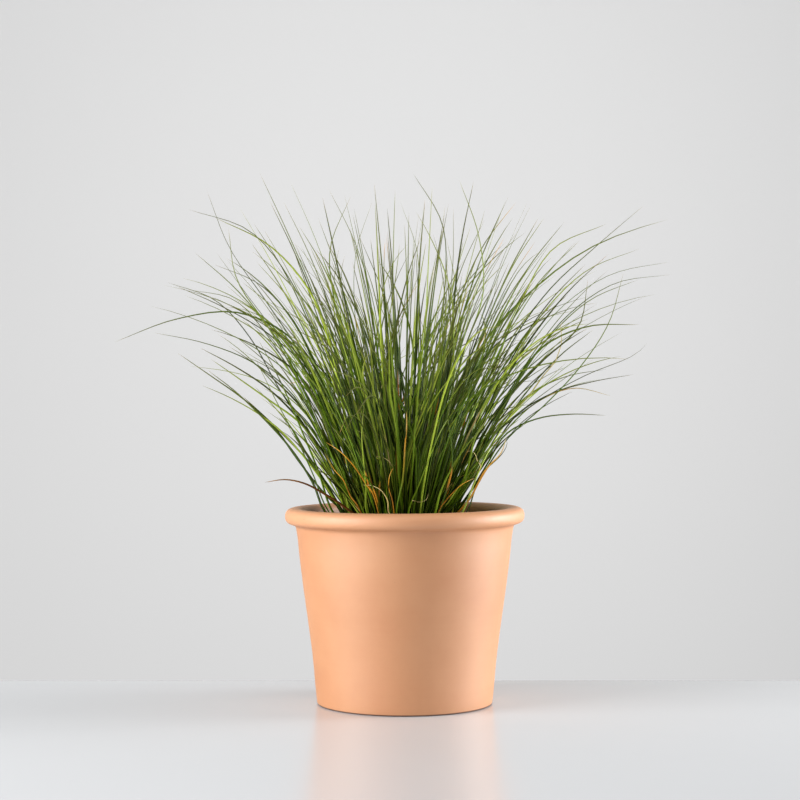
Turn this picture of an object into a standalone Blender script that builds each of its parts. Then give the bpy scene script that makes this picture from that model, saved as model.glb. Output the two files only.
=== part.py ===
"""A terracotta pot that holds a clump of fine-leaved ornamental grass, at its real size.

Metres, +Z up, with the origin on the pot's axis in the plane that its foot stands on. The pot is one
turned piece with a drain hole. The soil fills it to a little below the rim. Each shoot of the clump is
one grown piece, a short sheath that parts into four long leaves. The leaves that stand out of the clump's
outline follow points chosen for each of them, and the rest of the clump follows a rule.
"""

import itertools
import math
import random

import bmesh
import bpy
import numpy as np
from mathutils import Matrix, Vector

MM = 0.001
UP = Vector((0, 0, 1))
GAP = 0.3 * MM  # left between pieces that touch

# Pot
POT_SIDES = 40
FOOT_RADIUS = 87.3 * MM
FOOT_ROUNDING = 2 * MM
WALL_BENDS = ((45, 91.4), (100, 98.7), (163, 106.3))  # mm: height and outer radius, from the foot up
COLLAR_BOTTOM = (167.5 * MM, 108 * MM)  # height and radius of the low band that the rim stands on
COLLAR_TOP = (174.5 * MM, 108.2 * MM)
ROLL_REACH = (10 * MM, 8.6 * MM)  # half the rim's section, across and up
ROLL_SQUARENESS = 2.4  # 2 is an ellipse
ROLL_CENTRE_RADIUS = 109.2 * MM
ROLL_CENTRE_HEIGHT = 186.4 * MM
ROLL_START, ROLL_END = -80, 165  # degrees round the roll's section, from the outside to the inside
ROLL_STEPS = 9
INSIDE_FOOT_RADIUS = 78.75 * MM
INSIDE_TOP_RADIUS = 99 * MM
INSIDE_TOP_HEIGHT = 176 * MM
FLOOR_THICKNESS = 12 * MM
FLOOR_FILLET = 6 * MM
SMALL_ARC_STEPS = 2
DRAIN_RADIUS = 13 * MM
DRAIN_CHAMFER = 1.5 * MM
SHARP_ANGLE = 40

# Soil
SOIL_TOP = 164 * MM
SOIL_RINGS = 4
CROWN_FLAT_RADIUS = 53 * MM  # the shoots stand on this level middle
SOIL_LUMP = 2.2 * MM
SOIL_FALL = 4.4 * MM  # from the level middle to the wall
COARSE_LUMPS, FINE_LUMPS = 5, 11  # round the pot
LUMP_TWIST = 40  # radians for each metre from the axis, so that the lumps don't line up

# Shoots
SHOOT_COUNT = 52
LEAVES_PER_SHOOT = 4
CROWN_RADIUS = 47.5 * MM
SHEATH_HEIGHT = 14 * MM
SHEATH_SIDE = 3.8 * MM
SHEATH_LEAN = 1.6 * MM
WEDGE_REACH = SHEATH_SIDE * math.hypot(1 / 2, 1 / 6)  # from the middle of a quarter to its far corners
BUD_HEIGHT = 26 * MM
BUD_REACH = 3 * MM
LEAF_JOINTS = 6
LEAF_FLARE = 1.2 * MM  # how far each leaf steps off its neighbours at its first joint
LEAF_CLEARANCE = 0.4 * MM
WIDEST_PARTING = 50 * MM  # between neighbouring leaves of a shoot, where the shorter of them ends
TIP_THINNING = 0.62
CURVE_STEPS = 60
SWING_TRIES = 26

# The rule for the leaves inside the outline. Angles are in degrees.
UPRIGHT_LENGTH = 352 * MM
OUTER_LENGTH = 322 * MM
SHORTEST_SHARE = 0.72
OUTER_LEAN = 25
UPRIGHT_BOW = 10
INNER_BOW = 26
OUTER_BOW = 34
FREE_SIDE_LEAN = 7  # more, to the front and the back, where no leaf of the outline grows
FREE_SIDE_BOW = 26
SHOOT_BOW_RANGE = (0.55, 1.25)  # a shoot's leaves bow much alike
LEAF_BOW_RANGE = (0.88, 1.12)
LEAF_SPREAD = 4.6
SPREAD_RANGE = (0.8, 1.25)
SWING_ANGLE = 1.6
SWING_TILT = 0.16
SEED = 55

# The outline's leaves are given as they look from here, so one that has swung back is a little larger
# than it looks.
VIEW_DISTANCE = 2.15
VIEW_HEIGHT = 0.302
DEPTH_STEP = 2 * MM
DEPTH_BEND = 1.25
LEFT, RIGHT = 180, 0

# For each shoot of the outline: where it roots (mm across, mm back), the side to which its outermost leaf
# grows, and its four leaves, anticlockwise from that one as seen from above. A leaf is how far back its tip
# has swung (mm), and then the points that it passes (mm across, mm up).
OUTLINE_SHOOTS = (
    (
        (-43, -6),
        LEFT,
        (
            (-42, (-105, 299), (-168, 349), (-247, 371)),
            (-70, (-104, 352), (-173, 391), (-215, 387), (-291, 360)),
            (-34, (-96, 330), (-154, 377), (-208, 409), (-231, 417)),
            (-6, (-90, 262), (-142, 317), (-207, 354)),
        ),
    ),
    (
        (-44, 10),
        LEFT,
        (
            (52, (-94, 225), (-142, 287), (-226, 350)),
            (34, (-97, 270), (-142, 307), (-192, 344)),
            (60, (-94, 290), (-128, 330), (-170, 366)),
            (80, (-84, 226), (-120, 266), (-162, 307)),
        ),
    ),
    (
        (-34, 22),
        LEFT,
        (
            (58, (-132, 323), (-174, 391), (-238, 420)),
            (38, (-120, 340), (-170, 403), (-217, 414)),
            (66, (-97, 352), (-141, 413), (-192, 437)),
            (88, (-120, 350), (-166, 416), (-192, 451)),
        ),
    ),
    (
        (-36, -20),
        LEFT,
        (
            (-60, (-110, 330), (-157, 405), (-180, 446), (-177, 475)),
            (-80, (-84, 352), (-118, 430), (-160, 476), (-214, 493)),
            (-52, (-78, 370), (-115, 436), (-152, 468), (-189, 484)),
            (-34, (-90, 320), (-138, 401), (-178, 461), (-197, 512)),
        ),
    ),
    (
        (-24, 4),
        LEFT,
        (
            (10, (-84, 335), (-122, 420), (-164, 494)),
            (-12, (-70, 350), (-103, 439), (-143, 530)),
            (12, (-58, 360), (-86, 454), (-115, 521)),
            (32, (-70, 340), (-104, 432), (-138, 502)),
        ),
    ),
    (
        (-40, -30),
        LEFT,
        (
            (-58, (-76, 206), (-108, 222), (-136, 220)),
            (-78, (-70, 218), (-98, 250), (-118, 286)),
            (-52, (-62, 240), (-82, 290), (-100, 330)),
            (-36, (-70, 222), (-98, 260), (-128, 288)),
        ),
    ),
    (
        (46, 2),
        RIGHT,
        (
            (-4, (75, 225), (104, 270), (150, 287), (204, 288)),
            (18, (80, 240), (116, 290), (165, 314), (231, 327)),
            (-8, (76, 248), (110, 295), (150, 322), (203, 333)),
            (-28, (78, 240), (120, 292), (167, 314), (203, 306)),
        ),
    ),
    (
        (44, -16),
        RIGHT,
        (
            (-64, (96, 256), (154, 312), (197, 370), (214, 430)),
            (-44, (74, 222), (116, 280), (165, 312)),
            (-68, (82, 274), (136, 340), (174, 378), (182, 424)),
            (-86, (82, 262), (128, 345), (172, 373), (232, 377)),
        ),
    ),
    (
        (36, 22),
        RIGHT,
        (
            (74, (92, 280), (140, 360), (198, 413), (268, 427)),
            (94, (88, 290), (134, 368), (190, 421), (264, 441)),
            (70, (85, 295), (128, 372), (175, 426), (239, 455)),
            (54, (88, 282), (136, 354), (186, 402), (236, 424)),
        ),
    ),
    (
        (26, 12),
        RIGHT,
        (
            (34, (80, 300), (121, 383), (167, 434), (239, 498)),
            (54, (75, 310), (113, 394), (145, 450), (202, 478)),
            (24, (64, 324), (100, 420), (140, 485)),
            (10, (72, 320), (110, 414), (158, 481)),
        ),
    ),
    (
        (40, -28),
        RIGHT,
        (
            (-84, (62, 200), (80, 231), (97, 249), (104, 266)),
            (-64, (70, 232), (92, 286), (126, 330)),
            (-84, (60, 250), (74, 300), (98, 346)),
            (-106, (66, 226), (90, 268), (122, 304)),
        ),
    ),
    (
        (-14, -14),
        LEFT,
        (
            (-36, (-50, 320), (-76, 439), (-55, 506)),
            (-66, (-45, 330), (-66, 440), (-78, 504)),
            (-40, (-16, 300), (-34, 416), (-55, 475), (-74, 513)),
            (-14, (-40, 320), (-50, 430), (-30, 502)),
        ),
    ),
    (
        (2, 12),
        RIGHT,
        (
            (34, (30, 340), (43, 460), (10, 529)),
            (62, (16, 340), (11, 460), (19, 496)),
            (38, (-10, 340), (-12, 440), (-11, 513)),
            (12, (14, 340), (12, 460), (-4, 502)),
        ),
    ),
    (
        (18, -16),
        RIGHT,
        (
            (-40, (56, 340), (80, 430), (53, 523)),
            (-16, (44, 330), (54, 437), (72, 521)),
            (-44, (20, 330), (24, 440), (28, 517)),
            (-70, (36, 320), (47, 437), (47, 494)),
        ),
    ),
    (
        (14, 32),
        RIGHT,
        (
            (52, (62, 340), (98, 437), (127, 498)),
            (76, (48, 350), (80, 425), (114, 472)),
            (56, (34, 340), (56, 430), (80, 482)),
            (34, (42, 340), (66, 434), (110, 500)),
        ),
    ),
)

TERRACOTTA = (0.78, 0.44, 0.27)
COMPOST = (0.035, 0.022, 0.014)
LEAF_GREEN = (0.075, 0.17, 0.028)


def clear_scene():
    for obj in list(bpy.data.objects):
        bpy.data.objects.remove(obj, do_unlink=True)


def make_material(name, colour, roughness):
    """A non-metal Principled material of one colour."""
    material = bpy.data.materials.new(name)
    material.use_nodes = True
    shader = material.node_tree.nodes["Principled BSDF"]
    shader.inputs["Base Color"].default_value = (*colour, 1)
    shader.inputs["Roughness"].default_value = roughness
    shader.inputs["Metallic"].default_value = 0
    return material


def add_object(name, mesh, material):
    mesh.materials.append(material)
    obj = bpy.data.objects.new(name, mesh)
    bpy.context.scene.collection.objects.link(obj)
    return obj


def level_direction(angle):
    """The unit vector that points along the ground at this angle, in radians."""
    return Vector((math.cos(angle), math.sin(angle), 0))


def arc(centre, radius, start, end, steps):
    """Points (distance from the axis, height) along a round stretch, from start to end in degrees."""
    angles = (math.radians(start + (end - start) * i / steps) for i in range(steps + 1))
    return [(centre[0] + radius * math.cos(a), centre[1] + radius * math.sin(a)) for a in angles]


def squared_arc(centre, reach, squareness, start, end, steps):
    """Points (distance from the axis, height) along a squared ellipse, from start to end in degrees."""

    def swell(value):
        return math.copysign(abs(value) ** (2 / squareness), value)

    angles = (math.radians(start + (end - start) * i / steps) for i in range(steps + 1))
    return [
        (centre[0] + reach[0] * swell(math.cos(a)), centre[1] + reach[1] * swell(math.sin(a))) for a in angles
    ]


def inner_radius(height):
    """The inside of the wall, which runs straight from the floor up to the rim."""
    return INSIDE_FOOT_RADIUS + (INSIDE_TOP_RADIUS - INSIDE_FOOT_RADIUS) * height / INSIDE_TOP_HEIGHT


def pot_profile():
    """The pot's section: out along the foot, up the wall, over the roll, down inside and out by the drain."""
    fillet_height = FLOOR_THICKNESS + FLOOR_FILLET
    roll_foot = ROLL_CENTRE_HEIGHT - ROLL_REACH[1]
    foot_centre = (FOOT_RADIUS - FOOT_ROUNDING, FOOT_ROUNDING)
    roll_centre = (ROLL_CENTRE_RADIUS, ROLL_CENTRE_HEIGHT)
    fillet_centre = (inner_radius(fillet_height) - FLOOR_FILLET, fillet_height)
    return [
        (DRAIN_RADIUS + DRAIN_CHAMFER, 0),
        *arc(foot_centre, FOOT_ROUNDING, -90, 0, SMALL_ARC_STEPS),
        *((radius * MM, height * MM) for height, radius in WALL_BENDS),
        *((radius, height) for height, radius in (COLLAR_BOTTOM, COLLAR_TOP)),
        *squared_arc(roll_centre, ROLL_REACH, ROLL_SQUARENESS, ROLL_START, ROLL_END, ROLL_STEPS),
        (inner_radius(roll_foot), roll_foot),
        *arc(fillet_centre, FLOOR_FILLET, 0, -90, SMALL_ARC_STEPS),
        (DRAIN_RADIUS, FLOOR_THICKNESS),
        (DRAIN_RADIUS, DRAIN_CHAMFER),
    ]


def build_pot(material):
    """The section, turned all the way round the upright axis."""
    bm = bmesh.new()
    verts = [bm.verts.new((radius, 0, height)) for radius, height in pot_profile()]
    edges = [bm.edges.new((a, b)) for a, b in zip(verts, verts[1:] + verts[:1])]
    bmesh.ops.spin(
        bm,
        geom=verts + edges,
        cent=(0, 0, 0),
        axis=UP,
        angle=math.tau,
        steps=POT_SIDES,
        use_merge=True,
    )
    bmesh.ops.recalc_face_normals(bm, faces=bm.faces)
    mesh = bpy.data.meshes.new("pot")
    bm.to_mesh(mesh)
    bm.free()
    mesh.shade_smooth()
    mesh.set_sharp_from_angle(angle=math.radians(SHARP_ANGLE))
    return add_object("pot", mesh, material)


def soil_height(radius, angle):
    """The soil's surface: level under the crown, then lumpy and a little lower towards the wall."""
    outward = max(0, radius - CROWN_FLAT_RADIUS) / (inner_radius(SOIL_TOP) - CROWN_FLAT_RADIUS)
    twist = LUMP_TWIST * radius
    lumps = (math.sin(COARSE_LUMPS * angle + twist) + math.sin(FINE_LUMPS * angle - twist)) / 2
    return SOIL_TOP - SOIL_FALL * outward + SOIL_LUMP * lumps * math.sin(math.pi * outward)


def build_soil(material):
    """One plug of soil that fits the pot's inside, with the same number of sides."""
    fillet_top = FLOOR_THICKNESS + FLOOR_FILLET + GAP
    edge = inner_radius(SOIL_TOP) - 2 * GAP
    angles = [math.tau * i / POT_SIDES for i in range(POT_SIDES)]
    outline = [
        (inner_radius(fillet_top) - FLOOR_FILLET - 2 * GAP, FLOOR_THICKNESS + GAP),
        (inner_radius(fillet_top) - 2 * GAP, fillet_top),
    ]
    bm = bmesh.new()
    rings = []
    for radius, height in outline:
        rings.append([bm.verts.new(level_direction(a) * radius + UP * height) for a in angles])
    for ring in range(SOIL_RINGS + 1):
        radius = edge + (CROWN_FLAT_RADIUS - edge) * ring / SOIL_RINGS
        rings.append(
            [bm.verts.new(level_direction(a) * radius + UP * soil_height(radius, a)) for a in angles]
        )
    for lower, upper in zip(rings, rings[1:]):
        for i in range(POT_SIDES):
            bm.faces.new((lower[i - 1], lower[i], upper[i], upper[i - 1]))
    bm.faces.new(rings[0][::-1])
    bm.faces.new(rings[-1])
    mesh = bpy.data.meshes.new("soil")
    bm.to_mesh(mesh)
    bm.free()
    return add_object("soil", mesh, material)


def crown_slots():
    """Where the shoots stand: spread evenly over a disc, in the order of a sunflower's seeds."""
    golden = math.pi * (3 - math.sqrt(5))
    radii = (CROWN_RADIUS * math.sqrt((i + 0.5) / SHOOT_COUNT) for i in range(SHOOT_COUNT))
    return [level_direction(i * golden) * radius for i, radius in enumerate(radii)]


def take_nearest(slots, root):
    """Takes out of slots, and returns, the one nearest to a root given in millimetres."""
    wish = Vector((*root, 0)) * MM
    slot = min(slots, key=lambda place: (place - wish).length)
    slots.remove(slot)
    return slot


def smooth_curve(knots):
    """CURVE_STEPS + 1 points at equal distances along a Catmull-Rom curve through the knots."""
    padded = [knots[0] * 2 - knots[1], *knots, knots[-1] * 2 - knots[-2]]
    path = []
    for a, b, c, d in zip(padded, padded[1:], padded[2:], padded[3:]):
        for i in range(CURVE_STEPS):
            t = i / CURVE_STEPS
            straight = 2 * b + (c - a) * t
            bent = (2 * a - 5 * b + 4 * c - d) * t**2 + (3 * b - a - 3 * c + d) * t**3
            path.append((straight + bent) / 2)
    path = np.array([*path, knots[-1]])
    along = np.concatenate([[0], np.cumsum(np.linalg.norm(np.diff(path, axis=0), axis=1))])
    wanted = np.linspace(0, along[-1], CURVE_STEPS + 1)
    return np.column_stack([np.interp(wanted, along, path[:, axis]) for axis in range(3)])


def chosen_leaf(start, leaf):
    """For a leaf of the outline, the function that gives its path with its tip swung so many steps back."""
    tip_back, *points = leaf
    looks = [(start.x, start.z), *((across * MM, up * MM) for across, up in points)]
    gone = list(itertools.accumulate(math.dist(a, b) for a, b in zip(looks, looks[1:])))

    def make(swing):
        tip = tip_back * MM + DEPTH_STEP * swing
        knots = [start]
        for (across, up), length in zip(looks[1:], gone):
            back = start.y + (tip - start.y) * (length / gone[-1]) ** DEPTH_BEND
            scale = 1 + back / VIEW_DISTANCE
            knots.append(Vector((across * scale, back, VIEW_HEIGHT + (up - VIEW_HEIGHT) * scale)))
        return smooth_curve(knots)

    return make


def arched_path(start, azimuth, lean, bow, length):
    """A path that sets out at `lean` degrees from upright and has bent by `bow` more at its end."""
    outward = level_direction(math.radians(azimuth))
    point = start.copy()
    path = [point.copy()]
    for i in range(CURVE_STEPS):
        slope = math.radians(lean + bow * ((i + 0.5) / CURVE_STEPS) ** 2)
        point += (outward * math.sin(slope) + UP * math.cos(slope)) * length / CURVE_STEPS
        path.append(point.copy())
    return np.array(path)


def ruled_leaf(shoot, index, shoot_bow, dice):
    """For a leaf inside the outline, the function that gives its path swung round by so many steps."""
    share = Vector((shoot.foot.x, shoot.foot.y)).length / CROWN_RADIUS
    azimuth = math.atan2(shoot.foot.y, shoot.foot.x)
    free_side = math.sin(azimuth) ** 2 * share**3
    lean = OUTER_LEAN * share + FREE_SIDE_LEAN * free_side
    bow = UPRIGHT_BOW + (INNER_BOW - UPRIGHT_BOW) * share + OUTER_BOW * share**4 + FREE_SIDE_BOW * free_side
    length = UPRIGHT_LENGTH + (OUTER_LENGTH - UPRIGHT_LENGTH) * share**2
    length *= dice.uniform(SHORTEST_SHARE, 1)
    bow *= shoot_bow * dice.uniform(*LEAF_BOW_RANGE)
    spread = LEAF_SPREAD * dice.uniform(*SPREAD_RANGE)
    start = shoot.leaf_start(index)

    def make(swing):
        turn = SWING_ANGLE * swing
        path = arched_path(start, math.degrees(azimuth) + turn / 2, lean, bow, length)
        across = UP.cross(shoot.side_of(index))
        across.rotate(Matrix.Rotation(math.radians(turn), 3, UP))
        tilt = math.radians(spread + SWING_TILT * abs(swing))
        tilted = np.array(Matrix.Rotation(tilt, 3, across))
        return (path - np.array(start)) @ tilted.T + np.array(start)

    return make


def swings():
    """0, then a step to each side in turn, further and further out."""
    yield 0
    for i in range(1, SWING_TRIES + 1):
        yield i
        yield -i


def width_at(share):
    """How much of its width a leaf keeps, from 1 at the sheath to 0 at its tip."""
    return (1 - share) ** TIP_THINNING


def stretches(rows):
    """Rows of x, y, z and reach, as pairs of the two ends of each straight stretch."""
    return np.stack([rows[:-1], rows[1:]], axis=1)


def leaf_stretches(joints):
    reach = WEDGE_REACH * width_at(np.linspace(0, 1, len(joints)))
    return stretches(np.column_stack([joints, reach]))


def least_room(ours, theirs):
    """The least distance between the skins of two sets of straight stretches."""
    p, u = ours[:, None, 0, :3], (ours[:, 1, :3] - ours[:, 0, :3])[:, None]
    q, v = theirs[None, :, 0, :3], (theirs[:, 1, :3] - theirs[:, 0, :3])[None]
    w = p - q
    uu, vv, uv = (u * u).sum(-1), (v * v).sum(-1), (u * v).sum(-1)
    uw, vw = (u * w).sum(-1), (v * w).sum(-1)
    s = np.clip((uv * vw - vv * uw) / np.maximum(uu * vv - uv * uv, 1e-18), 0, 1)
    t = np.clip((uv * s + vw) / vv, 0, 1)
    s = np.clip((uv * t - uw) / uu, 0, 1)
    apart = np.linalg.norm(w + s[..., None] * u - t[..., None] * v, axis=-1)
    our_reach = ours[:, None, 0, 3] * (1 - s) + ours[:, None, 1, 3] * s
    their_reach = theirs[None, :, 0, 3] * (1 - t) + theirs[None, :, 1, 3] * t
    return float((apart - our_reach - their_reach).min())


def parting(one, other):
    """The gap between two leaves' paths where the shorter of them ends."""
    short, long = sorted((one, other), key=lambda path: np.linalg.norm(path[1] - path[0]))
    return float(np.linalg.norm(long - short[-1], axis=1).min())


class Shoot:
    """A sheath that stands on the soil at `slot` and parts round its top into leaves."""

    def __init__(self, slot, side):
        self.foot = slot + UP * (SOIL_TOP + GAP)
        self.top = self.foot + UP * SHEATH_HEIGHT + slot * SHEATH_LEAN / CROWN_RADIUS
        self.side = math.radians(side)
        self.paths = []
        self.leaves = []

    def side_of(self, index):
        """The level direction in which the leaf of this index leaves the sheath."""
        return level_direction(self.side + index * math.tau / LEAVES_PER_SHOOT)

    def leaf_start(self, index):
        return self.top + self.side_of(index) * SHEATH_SIDE / 3

    def corners(self):
        half = (self.side_of(0) + self.side_of(1)) * SHEATH_SIDE / 2
        quarter = Matrix.Rotation(math.tau / LEAVES_PER_SHOOT, 3, UP)
        yield half.copy()
        for _ in range(1, LEAVES_PER_SHOOT):
            half.rotate(quarter)
            yield half.copy()

    def reserved(self):
        """The sheath, with the room over it in which its leaves will part."""
        outward = Vector((self.foot.x, self.foot.y, 0)) / CROWN_RADIUS
        bud = self.top + (UP + outward * math.tan(math.radians(OUTER_LEAN))) * BUD_HEIGHT
        return stretches(np.array([[*point, BUD_REACH] for point in (self.foot, self.top, bud)]))

    def grow(self, index, path_for, others):
        """Adds a leaf along path_for(swing), at the first swing that has room or else at the roomiest."""
        neighbours = [self.paths[i] for i in {index - 1, (index + 1) % LEAVES_PER_SHOOT} if 0 <= i < index]
        best_room, best_path, best_joints = -math.inf, None, None
        for swing in swings():
            path = path_for(swing)
            joints = path[:: CURVE_STEPS // LEAF_JOINTS].copy()
            joints[1] += np.array(self.side_of(index)) * LEAF_FLARE
            ours = leaf_stretches(joints)
            rooms = [least_room(ours, others)]
            rooms += [least_room(ours[1:], leaf_stretches(leaf)[1:]) for leaf in self.leaves]
            rooms += [WIDEST_PARTING - parting(path, neighbour) for neighbour in neighbours]
            if min(rooms) > best_room:
                best_room, best_path, best_joints = min(rooms), path, joints
            if best_room > LEAF_CLEARANCE:
                break
        self.paths.append(best_path)
        self.leaves.append(best_joints)

    def grown(self):
        return np.concatenate([leaf_stretches(leaf) for leaf in self.leaves])

    def mesh(self, name):
        """A square sheath whose top is four wedges, each drawn out into one leaf that ends in a point."""
        corners = list(self.corners())
        corners = corners[-1:] + corners[:-1]
        verts = [self.foot + c for c in corners] + [self.top + c for c in corners] + [self.top]
        faces = [(3, 2, 1, 0)]
        faces += [(i, (i + 1) % 4, 4 + (i + 1) % 4, 4 + i) for i in range(4)]
        for index, joints in enumerate(self.leaves):
            ring = (8, 4 + index, 4 + (index + 1) % 4)
            middle = sum((verts[i] for i in ring), Vector()) / 3
            section = [verts[i] - middle for i in ring]
            heading = UP
            for joint in range(1, LEAF_JOINTS):
                onward = Vector(joints[joint + 1] - joints[joint - 1]).normalized()
                turn = heading.rotation_difference(onward)
                section = [turn @ side for side in section]
                heading = onward
                upper = tuple(range(len(verts), len(verts) + 3))
                verts += [Vector(joints[joint]) + side * width_at(joint / LEAF_JOINTS) for side in section]
                faces += [(ring[i - 1], ring[i], upper[i], upper[i - 1]) for i in range(3)]
                ring = upper
            faces += [(ring[i - 1], ring[i], len(verts)) for i in range(3)]
            verts.append(Vector(joints[-1]))
        mesh = bpy.data.meshes.new(name)
        mesh.from_pydata(verts, [], faces)
        mesh.update()
        return mesh


def grow_crown():
    """All the shoots of the clump, each leaf grown clear of what has its place already."""
    dice = random.Random(SEED)
    slots = crown_slots()
    planned = [(Shoot(take_nearest(slots, root), side), leaves) for root, side, leaves in OUTLINE_SHOOTS]
    planned += [(Shoot(slot, math.degrees(math.atan2(slot.y, slot.x))), None) for slot in slots]
    reserved = [shoot.reserved() for shoot, _ in planned]
    grown = []
    for number, (shoot, leaves) in enumerate(planned):
        others = np.concatenate(reserved[:number] + reserved[number + 1 :] + grown)
        shoot_bow = dice.uniform(*SHOOT_BOW_RANGE)
        for index in range(LEAVES_PER_SHOOT):
            if leaves:
                path_for = chosen_leaf(shoot.leaf_start(index), leaves[index])
            else:
                path_for = ruled_leaf(shoot, index, shoot_bow, dice)
            shoot.grow(index, path_for, others)
        grown.append(shoot.grown())
    return [shoot for shoot, _ in planned]


def build_shoots(material):
    for number, shoot in enumerate(grow_crown(), 1):
        name = f"shoot_{number:02d}"
        add_object(name, shoot.mesh(name), material)


def main():
    clear_scene()
    build_pot(make_material("terracotta", TERRACOTTA, 0.85))
    build_soil(make_material("compost", COMPOST, 0.95))
    build_shoots(make_material("grass leaf", LEAF_GREEN, 0.5))


if __name__ == "__main__":
    main()
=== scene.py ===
"""A terracotta pot with a clump of fine ornamental grass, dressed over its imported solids.

The pot, the soil and every shoot of the clump are made again in fine mesh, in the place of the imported
solid that each stands for. A shoot's leaves follow the lines of its solid, and more leaves fill the room
between them.
"""

import logging
import math
import random
from collections.abc import Iterable, Mapping, Sequence
from dataclasses import dataclass, field, replace
from enum import Enum
from typing import Any

import bpy
import numpy as np
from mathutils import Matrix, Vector, noise


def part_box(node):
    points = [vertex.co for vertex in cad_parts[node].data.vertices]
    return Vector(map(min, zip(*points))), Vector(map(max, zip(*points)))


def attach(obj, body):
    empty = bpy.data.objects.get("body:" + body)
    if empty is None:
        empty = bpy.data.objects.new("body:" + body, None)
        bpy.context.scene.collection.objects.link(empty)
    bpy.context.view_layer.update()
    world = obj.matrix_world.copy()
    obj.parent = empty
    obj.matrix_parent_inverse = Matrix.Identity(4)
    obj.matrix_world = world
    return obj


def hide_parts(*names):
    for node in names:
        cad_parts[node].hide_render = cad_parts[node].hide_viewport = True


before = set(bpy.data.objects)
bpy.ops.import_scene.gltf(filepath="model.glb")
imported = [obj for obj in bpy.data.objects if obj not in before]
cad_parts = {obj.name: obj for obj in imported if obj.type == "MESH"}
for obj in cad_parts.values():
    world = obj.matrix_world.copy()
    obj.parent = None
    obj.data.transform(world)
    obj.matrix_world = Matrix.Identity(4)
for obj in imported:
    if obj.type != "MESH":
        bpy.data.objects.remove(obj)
log = logging.getLogger("potted_grass")

Pair = tuple[float, float]
Point = tuple[float, float, float]
Colour = tuple[float, float, float]
Stops = Sequence[tuple[float, Colour]]
Face = tuple[int, ...]
Socket = bpy.types.NodeSocket
Material = bpy.types.Material
Piece = bpy.types.Object

MM = 0.001
UP = np.array([0.0, 0.0, 1.0])
BODY = "root"
EYE = (-0.0047, -1.94, 0.308)  # where the photo was taken from
MIX_UNDER, MIX_OVER, MIX_COLOUR = 6, 7, 2  # a Mix node's colour sockets: two inputs and the output
RING = 4  # corners of a blade's section: left edge, keel, right edge and groove
EDGE_RISE, KEEL_DEPTH, GROOVE_RISE = 0.26, 0.16, 0.03  # off the blade's line, in shares of its width
TIP_WIDTH = 0.15 * MM
STRIP = (0.06, 0.94)  # what a leaf fills of its strip of the bake's map


class Number:
    """A number that changes over a surface. Maths on it adds Math nodes to its graph."""

    def __init__(self, graph: "Graph", socket: Socket) -> None:
        """Wraps an output of one of the graph's nodes."""
        self.graph = graph
        self.socket = socket

    def _maths(self, operation: str, first: "Operand", second: "Operand") -> "Number":
        """The result of a Math node that two operands feed."""
        node = self.graph.add("ShaderNodeMath", {"operation": operation}, {0: first, 1: second})
        return Number(self.graph, node.outputs[0])

    def __add__(self, other: "Operand") -> "Number":
        """self + other."""
        return self._maths("ADD", self, other)

    def __radd__(self, other: "Operand") -> "Number":
        """other + self."""
        return self._maths("ADD", other, self)

    def __sub__(self, other: "Operand") -> "Number":
        """self - other."""
        return self._maths("SUBTRACT", self, other)

    def __rsub__(self, other: "Operand") -> "Number":
        """other - self."""
        return self._maths("SUBTRACT", other, self)

    def __mul__(self, other: "Operand") -> "Number":
        """self * other."""
        return self._maths("MULTIPLY", self, other)

    def __rmul__(self, other: "Operand") -> "Number":
        """other * self."""
        return self._maths("MULTIPLY", other, self)

    def __abs__(self) -> "Number":
        """The number without its sign."""
        return self._maths("ABSOLUTE", self, 0.0)

    def rise(self, start: float, end: float) -> "Number":
        """A mask that goes smoothly from 0 at start to 1 at end.

        Args:
            start: the number up to which the mask is 0.
            end: the number from which it is 1. It may be the lower of the two.

        Returns:
            The mask.
        """
        if start > end:
            return 1 - self.rise(end, start)
        settings = {"interpolation_type": "SMOOTHSTEP"}
        sockets = {"Value": self, "From Min": start, "From Max": end}
        return Number(self.graph, self.graph.add("ShaderNodeMapRange", settings, sockets).outputs["Result"])


Operand = Number | float


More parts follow.
